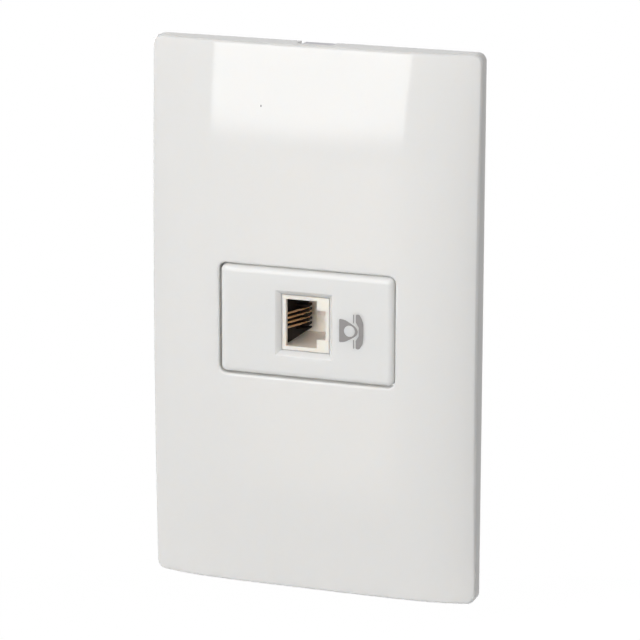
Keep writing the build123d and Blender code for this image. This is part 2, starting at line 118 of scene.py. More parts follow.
class SignSizes(bpy.types.PropertyGroup):
    dial_x: length("Dial place, X", "Middle of the dial from the middle of the face", 9.80 * mm)
    dial_z: length("Dial place, Z", "Middle of the dial from the middle of the face", -0.38 * mm)
    dial_r: length("Dial radius", "Radius of the bare dial", 1.22 * mm)
    ring_r: length("Ring radius", "Outer radius of the ring round the dial", 1.66 * mm)
    body_left: length("Body, flat side", "From the dial's middle to the body's flat side", -2.27 * mm)
    body_half: length("Body, half height", "Half the height of the flat side", 2.50 * mm)
    body_tip: length("Body, tip", "Where the body's slanted sides would meet", 3.25 * mm)
    body_shoulder: length("Body, shoulder", "From the flat side to the slanted sides", 1.25 * mm)
    body_fall: length("Body, fall", "How much the shoulder falls from the flat side", 0.10 * mm)
    body_rounding: length("Body, rounding", "Rounding of the flat side's corners", 0.25 * mm)
    bar_inner: length("Handset, inner side", "From the dial's middle to the handle", 2.08 * mm)
    bar_outer: length("Handset, outer side", "From the dial's middle to the handle's back", 3.08 * mm)
    back_rounding: length("Handset, back", "Rounding of the handset's back", 0.80 * mm)
    back_fall: length("Handset, back corner", "From the handset's end to its back corner", 1.15 * mm)
    back_lean: length("Handset, lean", "How far the back leans in at that corner", 0.20 * mm)
    cup_inner: length("Handset, cup", "From the dial's middle to the face of an ear cup", 1.42 * mm)
    cup_low: length("Handset, cup start", "Where a cup starts, up from the middle", 1.95 * mm)
    cup_join: length("Handset, cup root", "Where a cup meets the handle", 1.08 * mm)
    cup_width: length("Handset, cup width", "From a cup's face to its outer corner", 0.75 * mm)
    cup_rounding: length("Handset, cup rounding", "Rounding of a cup's face", 0.15 * mm)
    cup_nick: length("Handset, nick", "How far a cup's root cuts into the handle", 0.10 * mm)
    handset_half: length("Handset, half length", "Half the length of the handset", 3.78 * mm)
    cap_x: length("Cap line", "From the dial's middle to a cap line", 0.92 * mm)
    cap_width: length("Cap line width", "Width of the thin line beside a cup", 0.20 * mm)
    cap_overlap: length("Cap line start", "How far a cap line starts below its cup", 0.15 * mm)
    cap_inset: length("Cap line end", "How far a cap line ends below the handset's end", 0.12 * mm)
    cap_rounding: length("Cap line rounding", "Rounding of a cap line's corners", 0.06 * mm)
    ink_thickness: length("Ink thickness", "How far the ink stands on the face", 0.02 * mm)


class SolderSizes(bpy.types.PropertyGroup):
    pad_r: length("Pad radius", "Radius of a solder joint on the board", 0.44 * mm)
    joint_height: length("Joint height", "Height of a solder joint over the board", 0.78 * mm)
    track_width: length("Track width", "Width of a lacquered track", 0.42 * mm)
    track_height: length("Track height", "How far a track stands on the board", 0.04 * mm)
    track_turn_z: length("Track turn", "Height at which the tracks turn to the terminals", -2.1 * mm)
    joint_steps: IntProperty(name="Joint steps", description="Faces round a joint", default=24, min=6)


class FleckSizes(bpy.types.PropertyGroup):
    place_x: length("Place, X", "Place of the dust fleck on the plate", -10.6 * mm)
    place_z: length("Place, Z", "Height of the dust fleck on the plate", 45.9 * mm)
    half_width: length("Half width", "Half the width of the fleck", 0.12 * mm)
    half_thickness: length("Half thickness", "Half the thickness of the fleck", 0.045 * mm)
    half_length: length("Half length", "Half the length of the fleck", 0.255 * mm)
    bow: length("Bow", "How far the fleck would bow at 1 mm from its middle", 0.35 * mm)


class StudioSettings(bpy.types.PropertyGroup):
    target: FloatVectorProperty(
        name="View point",
        description="Point that the camera looks at",
        default=(0.210 * mm, -0.80 * mm, -0.689 * mm),
        subtype="TRANSLATION",
        unit="LENGTH",
    )
    azimuth: turn("Azimuth", "Camera's turn to the right of the front", 20.305)
    elevation: turn("Elevation", "Camera's angle above the horizon", 13.958)
    roll: turn("Roll", "Camera's turn about its own line of sight", 0.172)
    distance: length("Distance", "From the view point to the camera", 761.41 * mm)
    lens_pixels: FloatProperty(name="Lens", description="Focal length in pixels", default=3586.1)
    floor_drop: length("Floor drop", "Floor below the origin", 0.90)
    floor_r: length("Floor radius", "Radius of the round floor", 2.6)
    floor_tint: tint("Floor", "Pale floor", (0.80, 0.80, 0.80))
    floor_lift: strength("Floor lift", "White that the floor adds for camera and reflections", 0.85)
    room_light: strength("Room light", "Soft light from all round", 0.16)
    glare_z: length("Glare height", "Height on the plate where the softbox is mirrored", 45 * mm)
    softbox_distance: length("Softbox distance", "From the plate to the softbox", 2.0)
    softbox_left: turn("Softbox, left side", "Direction of its left side from the glare", -28.8)
    softbox_right: turn("Softbox, right side", "Direction of its right side from the glare", -12.6)
    softbox_top: turn("Softbox, top", "Direction of its top from the glare", 20.0)
    softbox_foot: turn("Softbox, foot", "Direction of its dark lower end", -8.0)
    softbox_lean: turn("Softbox lean", "How far it leans to the left at its foot", 15.0)
    fade_top: turn("Fade, top", "Direction where the softbox begins to fade towards its foot", -4.3)
    fade_end: turn("Fade, end", "Direction where the softbox is dark", -6.0)
    softbox_radiance: strength("Softbox", "Radiance of the tall softbox that the plate mirrors", 3.5)
    key_azimuth: turn("Key light, azimuth", "Direction of the wide lamp above on the left", -38.0)
    key_elevation: turn("Key light, elevation", "Its angle above the horizon", 36.0)
    key_distance: length("Key light, distance", "From the socket to the lamp", 1.2)
    key_width: length("Key light, width", "Width of the lamp", 0.54)
    key_height: length("Key light, height", "Height of the lamp", 0.42)
    key_radiance: strength("Key light", "Radiance of the lamp", 5.7)
    fill_azimuth: turn("Fill light, azimuth", "Direction of the lamp in front that nothing mirrors", 4.0)
    fill_elevation: turn("Fill light, elevation", "Its angle above the horizon", 14.0)
    fill_distance: length("Fill light, distance", "From the socket to the lamp", 1.0)
    fill_width: length("Fill light, width", "Width of the lamp", 0.45)
    fill_height: length("Fill light, height", "Height of the lamp", 0.45)
    fill_radiance: strength("Fill light", "Radiance of the lamp", 9.6)
    back_azimuth: turn("Back light, azimuth", "Direction of the wide lamp behind on the left", -125.0)
    back_elevation: turn("Back light, elevation", "Its angle above the horizon", 8.0)
    back_distance: length("Back light, distance", "From the socket to the lamp", 1.8)
    back_width: length("Back light, width", "Width of the lamp", 0.9)
    back_height: length("Back light, height", "Height of the lamp", 0.9)
    back_radiance: strength("Back light", "Radiance of the lamp", 5.0)


# Shader nodes

def feed(tree, socket, source):
    """Links an output to an input, or sets a plain value on it."""
    if isinstance(source, bpy.types.NodeSocket):
        tree.links.new(source, socket)
    else:
        socket.default_value = source


def add_node(tree, kind, inputs=None, **settings):
    """A node with its settings, and with values or links on its named inputs."""
    node = tree.nodes.new(kind)
    for name, value in settings.items():
        setattr(node, name, value)
    for name, source in (inputs or {}).items():
        feed(tree, node.inputs[name], source)
    return node


def arithmetic(tree, operation, *sources):
    node = add_node(tree, "ShaderNodeMath", operation=operation)
    for socket, source in zip(node.inputs, sources):
        feed(tree, socket, source)
    return node.outputs[0]


def vector_arithmetic(tree, operation, *sources):
    node = add_node(tree, "ShaderNodeVectorMath", operation=operation)
    for socket, source in zip(node.inputs, sources):
        feed(tree, socket, source)
    return node


def about_zero(tree, value):
    """A value from 0 to 1, spread to run from -1 to 1."""
    return arithmetic(tree, "MULTIPLY_ADD", value, 2.0, -1.0)


def noise(tree, place, scale, detail):
    node = add_node(tree, "ShaderNodeTexNoise", {"Vector": place, "Scale": scale, "Detail": detail})
    return node.outputs["Fac"]


def new_group(name, inputs, outputs):
    """A node group with named sockets: its tree, what comes in and what goes out."""
    tree = bpy.data.node_groups.new(name, "ShaderNodeTree")
    for label, (kind, default) in inputs.items():
        socket = tree.interface.new_socket(label, in_out="INPUT", socket_type="NodeSocket" + kind)
        socket.default_value = default
    for label, kind in outputs.items():
        tree.interface.new_socket(label, in_out="OUTPUT", socket_type="NodeSocket" + kind)
    return tree, tree.nodes.new("NodeGroupInput").outputs, tree.nodes.new("NodeGroupOutput").inputs


def object_place(tree):
    return tree.nodes.new("ShaderNodeTexCoord").outputs["Object"]


def make_moulded_skin():
    """Slow drifts of tone and gloss, as in moulded plastic, and a fine grain for the bump."""
    inputs = {
        "Color": ("Color", (0.8, 0.8, 0.8, 1.0)),
        "Patch Scale": ("Float", 40.0),
        "Tone Drift": ("Float", 0.02),
        "Roughness": ("Float", 0.3),
        "Roughness Drift": ("Float", 0.05),
        "Grain Scale": ("Float", 2500.0),
    }
    outputs = {"Color": "Color", "Roughness": "Float", "Grain": "Float"}
    tree, given, made = new_group("Moulded Skin", inputs, outputs)
    gloss_to_tone = 3.1
    place = object_place(tree)
    patch = noise(tree, place, given["Patch Scale"], 2.0)
    tone = arithmetic(tree, "MULTIPLY_ADD", about_zero(tree, patch), given["Tone Drift"], 1.0)
    toned = add_node(tree, "ShaderNodeHueSaturation", {"Value": tone, "Color": given["Color"]})
    gloss = noise(tree, place, arithmetic(tree, "MULTIPLY", given["Patch Scale"], gloss_to_tone), 3.0)
    drift = arithmetic(tree, "MULTIPLY", about_zero(tree, gloss), given["Roughness Drift"])
    feed(tree, made["Color"], toned.outputs["Color"])
    feed(tree, made["Roughness"], arithmetic(tree, "ADD", given["Roughness"], drift))
    feed(tree, made["Grain"], noise(tree, place, given["Grain Scale"], 3.0))
    return tree


def make_worn_edges():
    """A mask that is 1 on sharp outer edges, broken up by a noise."""
    inputs = {"Radius": ("Float", 0.1 * mm), "Scatter Scale": ("Float", 3000.0)}
    tree, given, made = new_group("Worn Edges", inputs, {"Mask": "Float"})
    rounded = add_node(tree, "ShaderNodeBevel", {"Radius": given["Radius"]}, samples=4)
    true_normal = tree.nodes.new("ShaderNodeNewGeometry").outputs["Normal"]
    turned = vector_arithmetic(tree, "DOT_PRODUCT", rounded.outputs["Normal"], true_normal)
    bent = arithmetic(tree, "SUBTRACT", 1.0, turned.outputs["Value"])
    scatter = noise(tree, object_place(tree), given["Scatter Scale"], 2.0)
    spread = arithmetic(tree, "MULTIPLY", bent, scatter)
    mask = add_node(tree, "ShaderNodeMapRange", {"Value": spread, "From Min": 0.01, "From Max": 0.10})
    feed(tree, made["Mask"], mask.outputs["Result"])
    return tree


def make_plated_skin():
    """Streaks along one direction, under a slow mottle, as on drawn or rolled and plated metal."""
    inputs = {
        "Color": ("Color", (0.6, 0.6, 0.6, 1.0)),
        "Worn Color": ("Color", (0.5, 0.5, 0.5, 1.0)),
        "Wear": ("Float", 0.0),
        "Stretch": ("Vector", (1.0, 1.0, 1.0)),
        "Streak Scale": ("Float", 6000.0),
        "Mottle Scale": ("Float", 900.0),
        "Mottle Drift": ("Float", 0.14),
        "Roughness": ("Float", 0.3),
        "Roughness Drift": ("Float", 0.08),
    }
    outputs = {"Color": "Color", "Roughness": "Float", "Streaks": "Float"}
    tree, given, made = new_group("Plated Skin", inputs, outputs)
    place = object_place(tree)
    drawn = vector_arithmetic(tree, "MULTIPLY", place, given["Stretch"])
    streaks = noise(tree, drawn.outputs["Vector"], given["Streak Scale"], 4.0)
    mottle = noise(tree, place, given["Mottle Scale"], 3.0)
    tone = arithmetic(tree, "MULTIPLY_ADD", about_zero(tree, mottle), given["Mottle Drift"], 1.0)
    toned = add_node(tree, "ShaderNodeHueSaturation", {"Value": tone, "Color": given["Color"]})
    worn = add_node(tree, "ShaderNodeMix", data_type="RGBA")
    feed(tree, worn.inputs["Factor"], given["Wear"])
    feed(tree, worn.inputs[6], toned.outputs["Color"])
    feed(tree, worn.inputs[7], given["Worn Color"])
    drift = arithmetic(tree, "MULTIPLY", about_zero(tree, streaks), given["Roughness Drift"])
    feed(tree, made["Color"], worn.outputs[2])
    feed(tree, made["Roughness"], arithmetic(tree, "ADD", given["Roughness"], drift))
    feed(tree, made["Streaks"], streaks)
    return tree


def make_turned_rings():
    """Fine rings about an axis along Y, as a lathe leaves on a screw's head."""
    inputs = {"Centre": ("Vector", (0.0, 0.0, 0.0)), "Pitch": ("Float", 0.09 * mm)}
    tree, given, made = new_group("Turned Rings", inputs, {"Height": "Float"})
    offset = vector_arithmetic(tree, "SUBTRACT", object_place(tree), given["Centre"])
    flat = vector_arithmetic(tree, "MULTIPLY", offset.outputs["Vector"], (1.0, 0.0, 1.0))
    reach = vector_arithmetic(tree, "LENGTH", flat.outputs["Vector"])
    wave = arithmetic(tree, "DIVIDE", reach.outputs["Value"], given["Pitch"])
    ripple = arithmetic(tree, "SINE", arithmetic(tree, "MULTIPLY", wave, 2.0 * pi))
    feed(tree, made["Height"], arithmetic(tree, "MULTIPLY_ADD", ripple, 0.5, 0.5))
    return tree


def make_glass_weave():
    """The crossed yarns of a glass-fibre board, faint under its lacquer."""
    inputs = {"Yarn Pitch": ("Float", 0.55 * mm)}
    tree, given, made = new_group("Glass Weave", inputs, {"Height": "Float"})
    parts = add_node(tree, "ShaderNodeSeparateXYZ", {"Vector": object_place(tree)})
    half_turns = arithmetic(tree, "DIVIDE", pi, given["Yarn Pitch"])
    waves = [
        arithmetic(tree, "SINE", arithmetic(tree, "MULTIPLY", parts.outputs[axis], half_turns))
        for axis in ("X", "Z")
    ]
    crossing = arithmetic(tree, "MULTIPLY", *waves)
    feed(tree, made["Height"], arithmetic(tree, "MULTIPLY_ADD", crossing, 0.5, 0.5))
    return tree


group_makers = {
    "Moulded Skin": make_moulded_skin,
    "Worn Edges": make_worn_edges,
    "Plated Skin": make_plated_skin,
    "Turned Rings": make_turned_rings,
    "Glass Weave": make_glass_weave,
}


def place_group(tree, name, inputs):
    """An effect that several materials share, with this material's own values."""
    shared = bpy.data.node_groups.get(name) or group_makers[name]()
    node = add_node(tree, "ShaderNodeGroup", node_tree=shared)
    for label, source in inputs.items():
        feed(tree, node.inputs[label], source)
    return node.outputs


def opaque(colour):
    return (*colour, 1.0)


def new_material(name, **shader_values):
    """A material's tree and its shader, with what is the same all over set on the shader."""
    material = bpy.data.materials.new(name)
    material.use_nodes = True
    tree = material.node_tree
    shader = tree.nodes["Principled BSDF"]
    for label, value in shader_values.items():
        shader.inputs[label.replace("_", " ").title().replace("Ior", "IOR")].default_value = value
    return material, tree, shader.inputs


def raise_grain(tree, shader, height, distance, edge=0.0):
    """Bumps a surface, over edges that look rounded to the given radius."""
    bump = add_node(tree, "ShaderNodeBump", {"Height": height, "Distance": distance, "Strength": 1.0})
    if edge:
        rounded = add_node(tree, "ShaderNodeBevel", {"Radius": edge}, samples=6)
        feed(tree, bump.inputs["Normal"], rounded.outputs["Normal"])
    feed(tree, shader["Normal"], bump.outputs["Normal"])


def moulded(
    name, colour, *, patch, drift, roughness, roughness_drift, grain, depth, edge=0.0, **shader_values
):
    """A moulded plastic: patch and grain are pattern scales per metre, depth is the grain's height."""
    material, tree, shader = new_material(name, **shader_values)
    skin = place_group(
        tree,
        "Moulded Skin",
        {
            "Color": opaque(colour),
            "Patch Scale": patch,
            "Tone Drift": drift,
            "Roughness": roughness,
            "Roughness Drift": roughness_drift,
            "Grain Scale": grain,
        },
    )
    feed(tree, shader["Base Color"], skin["Color"])
    feed(tree, shader["Roughness"], skin["Roughness"])
    raise_grain(tree, shader, skin["Grain"], depth, edge)
    return material


def plated(name, colour, worn_colour, *, edge, stretch, roughness, depth, rings_at=None):
    """A plated metal: streaks run along the axis whose stretch is small, edge is the worn edge's width."""
    material, tree, shader = new_material(name, metallic=1.0)
    wear = place_group(tree, "Worn Edges", {"Radius": edge})
    skin = place_group(
        tree,
        "Plated Skin",
        {
            "Color": opaque(colour),
            "Worn Color": opaque(worn_colour),
            "Wear": wear["Mask"],
            "Stretch": stretch,
            "Roughness": roughness,
        },
    )
    feed(tree, shader["Base Color"], skin["Color"])
    feed(tree, shader["Roughness"], skin["Roughness"])
    height = skin["Streaks"]
    if rings_at is not None:
        rings = place_group(tree, "Turned Rings", {"Centre": rings_at})
        height = arithmetic(tree, "ADD", arithmetic(tree, "MULTIPLY", height, 0.4), rings["Height"])
    raise_grain(tree, shader, height, depth)
    return material


def dress(node_name, material):
    """Gives a node of the frame its material."""
    mesh = frame["nodes"][node_name].data
    mesh.materials.clear()
    mesh.materials.append(material)


def numbered(stem):
    return [name for name in sorted(frame["nodes"]) if name.startswith(stem)]


# New meshes

def finished(bm, name, material):
    """Turns a mesh in the making into a piece that rides on the socket."""
    bmesh.ops.remove_doubles(bm, verts=bm.verts[:], dist=merge_reach)
    bmesh.ops.recalc_face_normals(bm, faces=bm.faces[:])
    mesh = bpy.data.meshes.new(name)
    bm.to_mesh(mesh)
    bm.free()
    mesh.materials.append(material)
    piece = bpy.data.objects.new(name, mesh)
    bpy.context.scene.collection.objects.link(piece)
    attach(piece, "root")
    return piece


def smooth_faces(piece):
    for polygon in piece.data.polygons:
        polygon.use_smooth = True


def outline(bm, corners, y):
    """A flat face in X and Z from (x, z, rounding) corners, each rounded by its own amount."""
    verts = [bm.verts.new((x, y, z)) for x, z, rounding in corners]
    bm.faces.new(verts)
    for vert, (x, z, rounding) in zip(verts, corners):
        if rounding:
            bmesh.ops.bevel(
                bm,
                geom=[vert],
                offset=rounding,
                offset_type="OFFSET",
                segments=8,
                profile=0.5,
                affect="VERTICES",
                material=-1,
            )


def mirrored(corners):
    """The corners of an upper half, followed by those of the lower half in reverse."""
    return corners + [(x, -z, rounding) for x, z, rounding in reversed(corners)]


def cut_hole(bm, radius, y):
    """Fills the outline again with a round hole at the origin."""
    bmesh.ops.delete(bm, geom=bm.faces[:], context="FACES_ONLY")
    upright = Matrix.Translation((0, y, 0)) @ Matrix.Rotation(radians(90), 4, "X")
    bmesh.ops.create_circle(bm, cap_ends=False, radius=radius, segments=48, matrix=upright)
    bmesh.ops.triangle_fill(bm, edges=bm.edges[:], use_beauty=True)


def sign_piece(name, shapes, sign, material, hole=None):
    """Ink on the module's face: shapes given from the dial's middle, raised to the ink's thickness."""
    under = face_y + sign.ink_thickness
    bm = bmesh.new()
    for corners in shapes:
        outline(bm, corners, under)
    if hole:
        cut_hole(bm, hole, under)
    raised = bmesh.ops.extrude_face_region(bm, geom=bm.faces[:])
    lifted = [item for item in raised["geom"] if isinstance(item, bmesh.types.BMVert)]
    bmesh.ops.translate(bm, verts=lifted, vec=(0, -2 * sign.ink_thickness, 0))
    face_middle = (face_low + face_high) / 2
    dial_middle = (face_middle.x + sign.dial_x, 0, face_middle.z + sign.dial_z)
    bmesh.ops.translate(bm, verts=bm.verts[:], vec=dial_middle)
    return finished(bm, name, material)


class SOCKET_OT_print_sign(bpy.types.Operator):
    """Print the handset sign beside the jack"""

    bl_idname = "socket.print_sign"
    bl_label = "Print the Sign"

    def execute(self, context):
        sign = context.scene.socket_sign
        ink = moulded(
            "sign_ink",
            context.scene.socket_plastics.ink,
            patch=900.0,
            drift=0.10,
            roughness=0.55,
            roughness_drift=0.10,
            grain=9000.0,
            depth=0.002 * mm,
        )
        sign_piece("sign_body", [self.body_outline(sign)], sign, ink, hole=sign.dial_r)
        sign_piece("sign_handset", [self.handset_outline(sign)], sign, ink)
        sign_piece("sign_caps", self.cap_outlines(sign), sign, ink)
        return {"FINISHED"}

    def body_outline(self, sign):
        apex_rounding = sqrt(sign.body_tip**2 - sign.ring_r**2)
        shoulder_x = sign.body_left + sign.body_shoulder
        shoulder_z = sign.body_half - sign.body_fall
        upper = [
            (sign.body_left, sign.body_half, sign.body_rounding),
            (shoulder_x, shoulder_z, 2 * sign.body_rounding),
        ]
        return upper + [(sign.body_tip, 0, apex_rounding)] + [(x, -z, r) for x, z, r in reversed(upper)]

    def handset_outline(self, sign):
        end = sign.handset_half
        return mirrored(
            [
                (sign.bar_inner, 0.8 * sign.cup_join, 0),
                (sign.bar_inner - sign.cup_nick, sign.cup_join, 0.8 * sign.cup_nick),
                (sign.cup_inner, sign.cup_low, 0.8 * sign.cup_rounding),
                (sign.cup_inner, end - sign.cup_nick, sign.cup_rounding),
                (sign.cup_inner + sign.cup_width, end, 2 * sign.cup_rounding),
                (sign.bar_outer - sign.back_lean, end - sign.back_fall, sign.back_rounding),
                (sign.bar_outer, 0.45 * end, sign.back_rounding),
            ]
        )

    def cap_outlines(self, sign):
        left = sign.cap_x - sign.cap_width / 2
        right = sign.cap_x + sign.cap_width / 2
        low = sign.cup_low - sign.cap_overlap
        high = sign.handset_half - sign.cap_inset
        corners = [(left, low), (right, low), (right, high), (left, high)]
        upper = [(x, z, sign.cap_rounding) for x, z in corners]
        return [upper, [(x, -z, r) for x, z, r in reversed(upper)]]


class SOCKET_OT_finish_casings(bpy.types.Operator):
    """Finish the cover plate, the support frame and the module housing"""

    bl_idname = "socket.finish_casings"
    bl_label = "Finish the Casings"

    def execute(self, context):
        plastics = context.scene.socket_plastics
        glow = {
            "subsurface_weight": 0.9,
            "subsurface_radius": (1.0, 0.95, 0.9),
            "subsurface_scale": 2.0 * mm,
        }
        plate_plastic = moulded(
            "plate_plastic",
            plastics.plate,
            patch=14.0,
            drift=0.006,
            roughness=0.055,
            roughness_drift=0.01,
            grain=260.0,
            depth=0.0012 * mm,
            edge=0.3 * mm,
            **glow,
        )
        module_plastic = moulded(
            "module_plastic",
            plastics.module,
            patch=60.0,
            drift=0.008,
            roughness=0.24,
            roughness_drift=0.04,
            grain=3800.0,
            depth=0.0012 * mm,
            edge=0.12 * mm,
            **glow,
        )
        frame_plastic = moulded(
            "frame_plastic",
            plastics.frame,
            patch=45.0,
            drift=0.02,
            roughness=0.42,
            roughness_drift=0.06,
            grain=3200.0,
            depth=0.006 * mm,
        )
        dress("cover_plate", plate_plastic)
        dress("module_housing", module_plastic)
        dress("support_frame", frame_plastic)
        return {"FINISHED"}


class SOCKET_OT_finish_jack(bpy.types.Operator):
    """Finish the jack housing and the contact carrier"""

    bl_idname = "socket.finish_jack"
    bl_label = "Finish the Jack"

    def execute(self, context):
        plastics = context.scene.socket_plastics
        jack_nylon = moulded(
            "jack_nylon",
            plastics.jack,
            patch=160.0,
            drift=0.03,
            roughness=0.34,
            roughness_drift=0.05,
            grain=5200.0,
            depth=0.002 * mm,
            subsurface_weight=0.8,
            subsurface_radius=(1.0, 0.85, 0.7),
            subsurface_scale=1.0 * mm,
        )
        carrier_nylon = moulded(
            "carrier_nylon",
            plastics.carrier,
            patch=220.0,
            drift=0.15,
            roughness=0.60,
            roughness_drift=0.06,
            grain=6500.0,
            depth=0.003 * mm,
            specular_ior_level=0.2,
        )
        dress("jack_housing", jack_nylon)
        dress("contact_carrier", carrier_nylon)
        return {"FINISHED"}


class SOCKET_OT_finish_contacts(bpy.types.Operator):
    """Finish the spring contact wires"""

    bl_idname = "socket.finish_contacts"
    bl_label = "Finish the Contact Wires"

    def execute(self, context):
        metals = context.scene.socket_metals
        gold = plated(
            "contact_gold",
            metals.gold,
            metals.bare_bronze,
            edge=0.05 * mm,
            stretch=(0.08, 0.08, 1.0),
            roughness=0.26,
            depth=0.001 * mm,
        )
        for name in numbered("contact_wire_"):
            dress(name, gold)
        return {"FINISHED"}


class SOCKET_OT_finish_board(bpy.types.Operator):
    """Finish the circuit board and add its tracks and solder joints"""

    bl_idname = "socket.finish_board"
    bl_label = "Finish the Circuit Board"

    def execute(self, context):
        metals = context.scene.socket_metals
        sizes = context.scene.socket_solder
        dress("circuit_board", lacquered("board_lacquer", metals.mask, 0.004 * mm))
        track_lacquer = lacquered("track_lacquer", metals.masked_track, 0.001 * mm)
        solder = plated(
            "solder",
            metals.solder,
            metals.solder,
            edge=0.02 * mm,
            stretch=(1.0, 1.0, 1.0),
            roughness=0.20,
            depth=0.002 * mm,
        )
        pairs = zip(numbered("contact_wire_"), numbered("terminal_tongue_"))
        for number, (wire, tongue) in enumerate(pairs, 1):
            tail = wire_tail(wire)
            make_track(f"track_{number}", tail, tongue_leg(tongue), sizes, track_lacquer)
            make_solder_joint(f"solder_joint_{number}", tail, sizes, solder)
        return {"FINISHED"}


def lacquered(name, colour, depth):
    """Green lacquer over a glass-fibre board."""
    material, tree, shader = new_material(name, coat_weight=0.5, coat_roughness=0.12)
    skin = place_group(
        tree,
        "Moulded Skin",
        {
            "Color": opaque(colour),
            "Patch Scale": 260.0,
            "Tone Drift": 0.12,
            "Roughness": 0.34,
            "Roughness Drift": 0.06,
            "Grain Scale": 4000.0,
        },
    )
    weave = place_group(tree, "Glass Weave", {})
    feed(tree, shader["Base Color"], skin["Color"])
    feed(tree, shader["Roughness"], skin["Roughness"])
    grain_share = 0.3
    height = arithmetic(tree, "MULTIPLY_ADD", skin["Grain"], grain_share, weave["Height"])
    raise_grain(tree, shader, height, depth)
    return material


def wire_tail(name):
    """Where a contact wire comes out of the board's back: its leg is the wire's leftmost stretch."""
    low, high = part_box(name)
    radius = (high.z - low.z) / 2
    return Vector((low.x + radius, board_back_y, (low.z + high.z) / 2))


def tongue_leg(name):
    """Where a contact bar goes through the board."""
    low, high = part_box(name)
    leg_half = 0.4 * mm
    return Vector(((low.x + high.x) / 2, board_back_y, high.z - leg_half))


def make_track(name, start, end, sizes, material):
    """A lacquered track: level from the wire, then slanted, then down to the terminal."""
    drop = start.z - sizes.track_turn_z
    side = 1 if end.x > start.x else -1
    knee = Vector((end.x - side * min(drop, abs(end.x - start.x)), board_back_y, start.z))
    turn_point = Vector((end.x, board_back_y, sizes.track_turn_z))
    curve = bpy.data.curves.new(name + "_path", "CURVE")
    curve.dimensions = "3D"
    curve.bevel_depth = sizes.track_width / 2
    curve.bevel_resolution = 3
    curve.use_fill_caps = True
    route = [start, knee, turn_point, end]
    spline = curve.splines.new("POLY")
    spline.points.add(len(route) - 1)
    for point, place in zip(spline.points, route):
        point.co = (*place, 1.0)
    holder = bpy.data.objects.new(name + "_path", curve)
    tube = bpy.data.meshes.new_from_object(holder)
    bpy.data.objects.remove(holder)
    bm = bmesh.new()
    bm.from_mesh(tube)
    bpy.data.meshes.remove(tube)
    flatten = sizes.track_height / (sizes.track_width / 2)
    about = Matrix.Translation((0, -board_back_y, 0))
    bmesh.ops.scale(bm, verts=bm.verts[:], vec=(1, flatten, 1), space=about)
    piece = finished(bm, name, material)
    smooth_faces(piece)
    return piece


def make_solder_joint(name, place, sizes, material):
    """A solder joint: a profile, in shares of its radius and height, turned round the wire's tail."""
    foot = [(1.0, -0.05), (1.0, 0.06), (0.86, 0.20), (0.70, 0.45)]
    shoulder = foot + [(0.60, 0.72), (0.48, 0.90), (0.26, 0.98)]
    bm = bmesh.new()
    profile = [
        bm.verts.new((place.x + out * sizes.pad_r, place.y + up * sizes.joint_height, place.z))
        for out, up in shoulder
    ]
    profile.append(bm.verts.new((place.x, place.y + sizes.joint_height, place.z)))
    profile.insert(0, bm.verts.new((place.x, profile[0].co.y, place.z)))
    edges = [bm.edges.new(pair) for pair in zip(profile, profile[1:])]
    bmesh.ops.spin(
        bm,
        geom=profile + edges,
        cent=place,
        axis=(0, 1, 0),
        angle=2 * pi,
        steps=sizes.joint_steps,
        use_merge=True,
    )
    piece = finished(bm, name, material)
    smooth_faces(piece)
    return piece


class SOCKET_OT_finish_terminals(bpy.types.Operator):
    """Finish the screw terminals and the board's screws"""

    bl_idname = "socket.finish_terminals"
    bl_label = "Finish the Terminals"

    def execute(self, context):
        plastics = context.scene.socket_plastics
        metals = context.scene.socket_metals
        terminal_plastic = moulded(
            "terminal_plastic",
            plastics.terminal,
            patch=180.0,
            drift=0.06,
            roughness=0.46,
            roughness_drift=0.08,
            grain=4200.0,
            depth=0.006 * mm,
        )
        nickel = plated(
            "cage_nickel",
            metals.nickel,
            metals.bare_bronze,
            edge=0.06 * mm,
            stretch=(1.0, 0.06, 1.0),
            roughness=0.28,
            depth=0.002 * mm,
        )
        tin = plated(
            "tongue_tin",
            metals.tin,
            metals.tin,
            edge=0.05 * mm,
            stretch=(1.0, 1.0, 0.08),
            roughness=0.40,
            depth=0.002 * mm,
        )
        dress("terminal_body", terminal_plastic)
        for name in numbered("terminal_cage_"):
            dress(name, nickel)
        for name in numbered("terminal_tongue_"):
            dress(name, tin)
        for name in numbered("terminal_screw_") + numbered("board_screw_"):
            dress(name, self.screw_zinc(name, metals.zinc))
        return {"FINISHED"}

    def screw_zinc(self, name, zinc):
        """Zinc with turning rings about the screw's own axis."""
        low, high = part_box(name)
        return plated(
            name + "_zinc",
            zinc,
            tuple(0.8 * part for part in zinc),
            edge=0.08 * mm,
            stretch=(1.0, 0.1, 1.0),
            roughness=0.24,
            depth=0.002 * mm,
            rings_at=(low + high) / 2,
        )


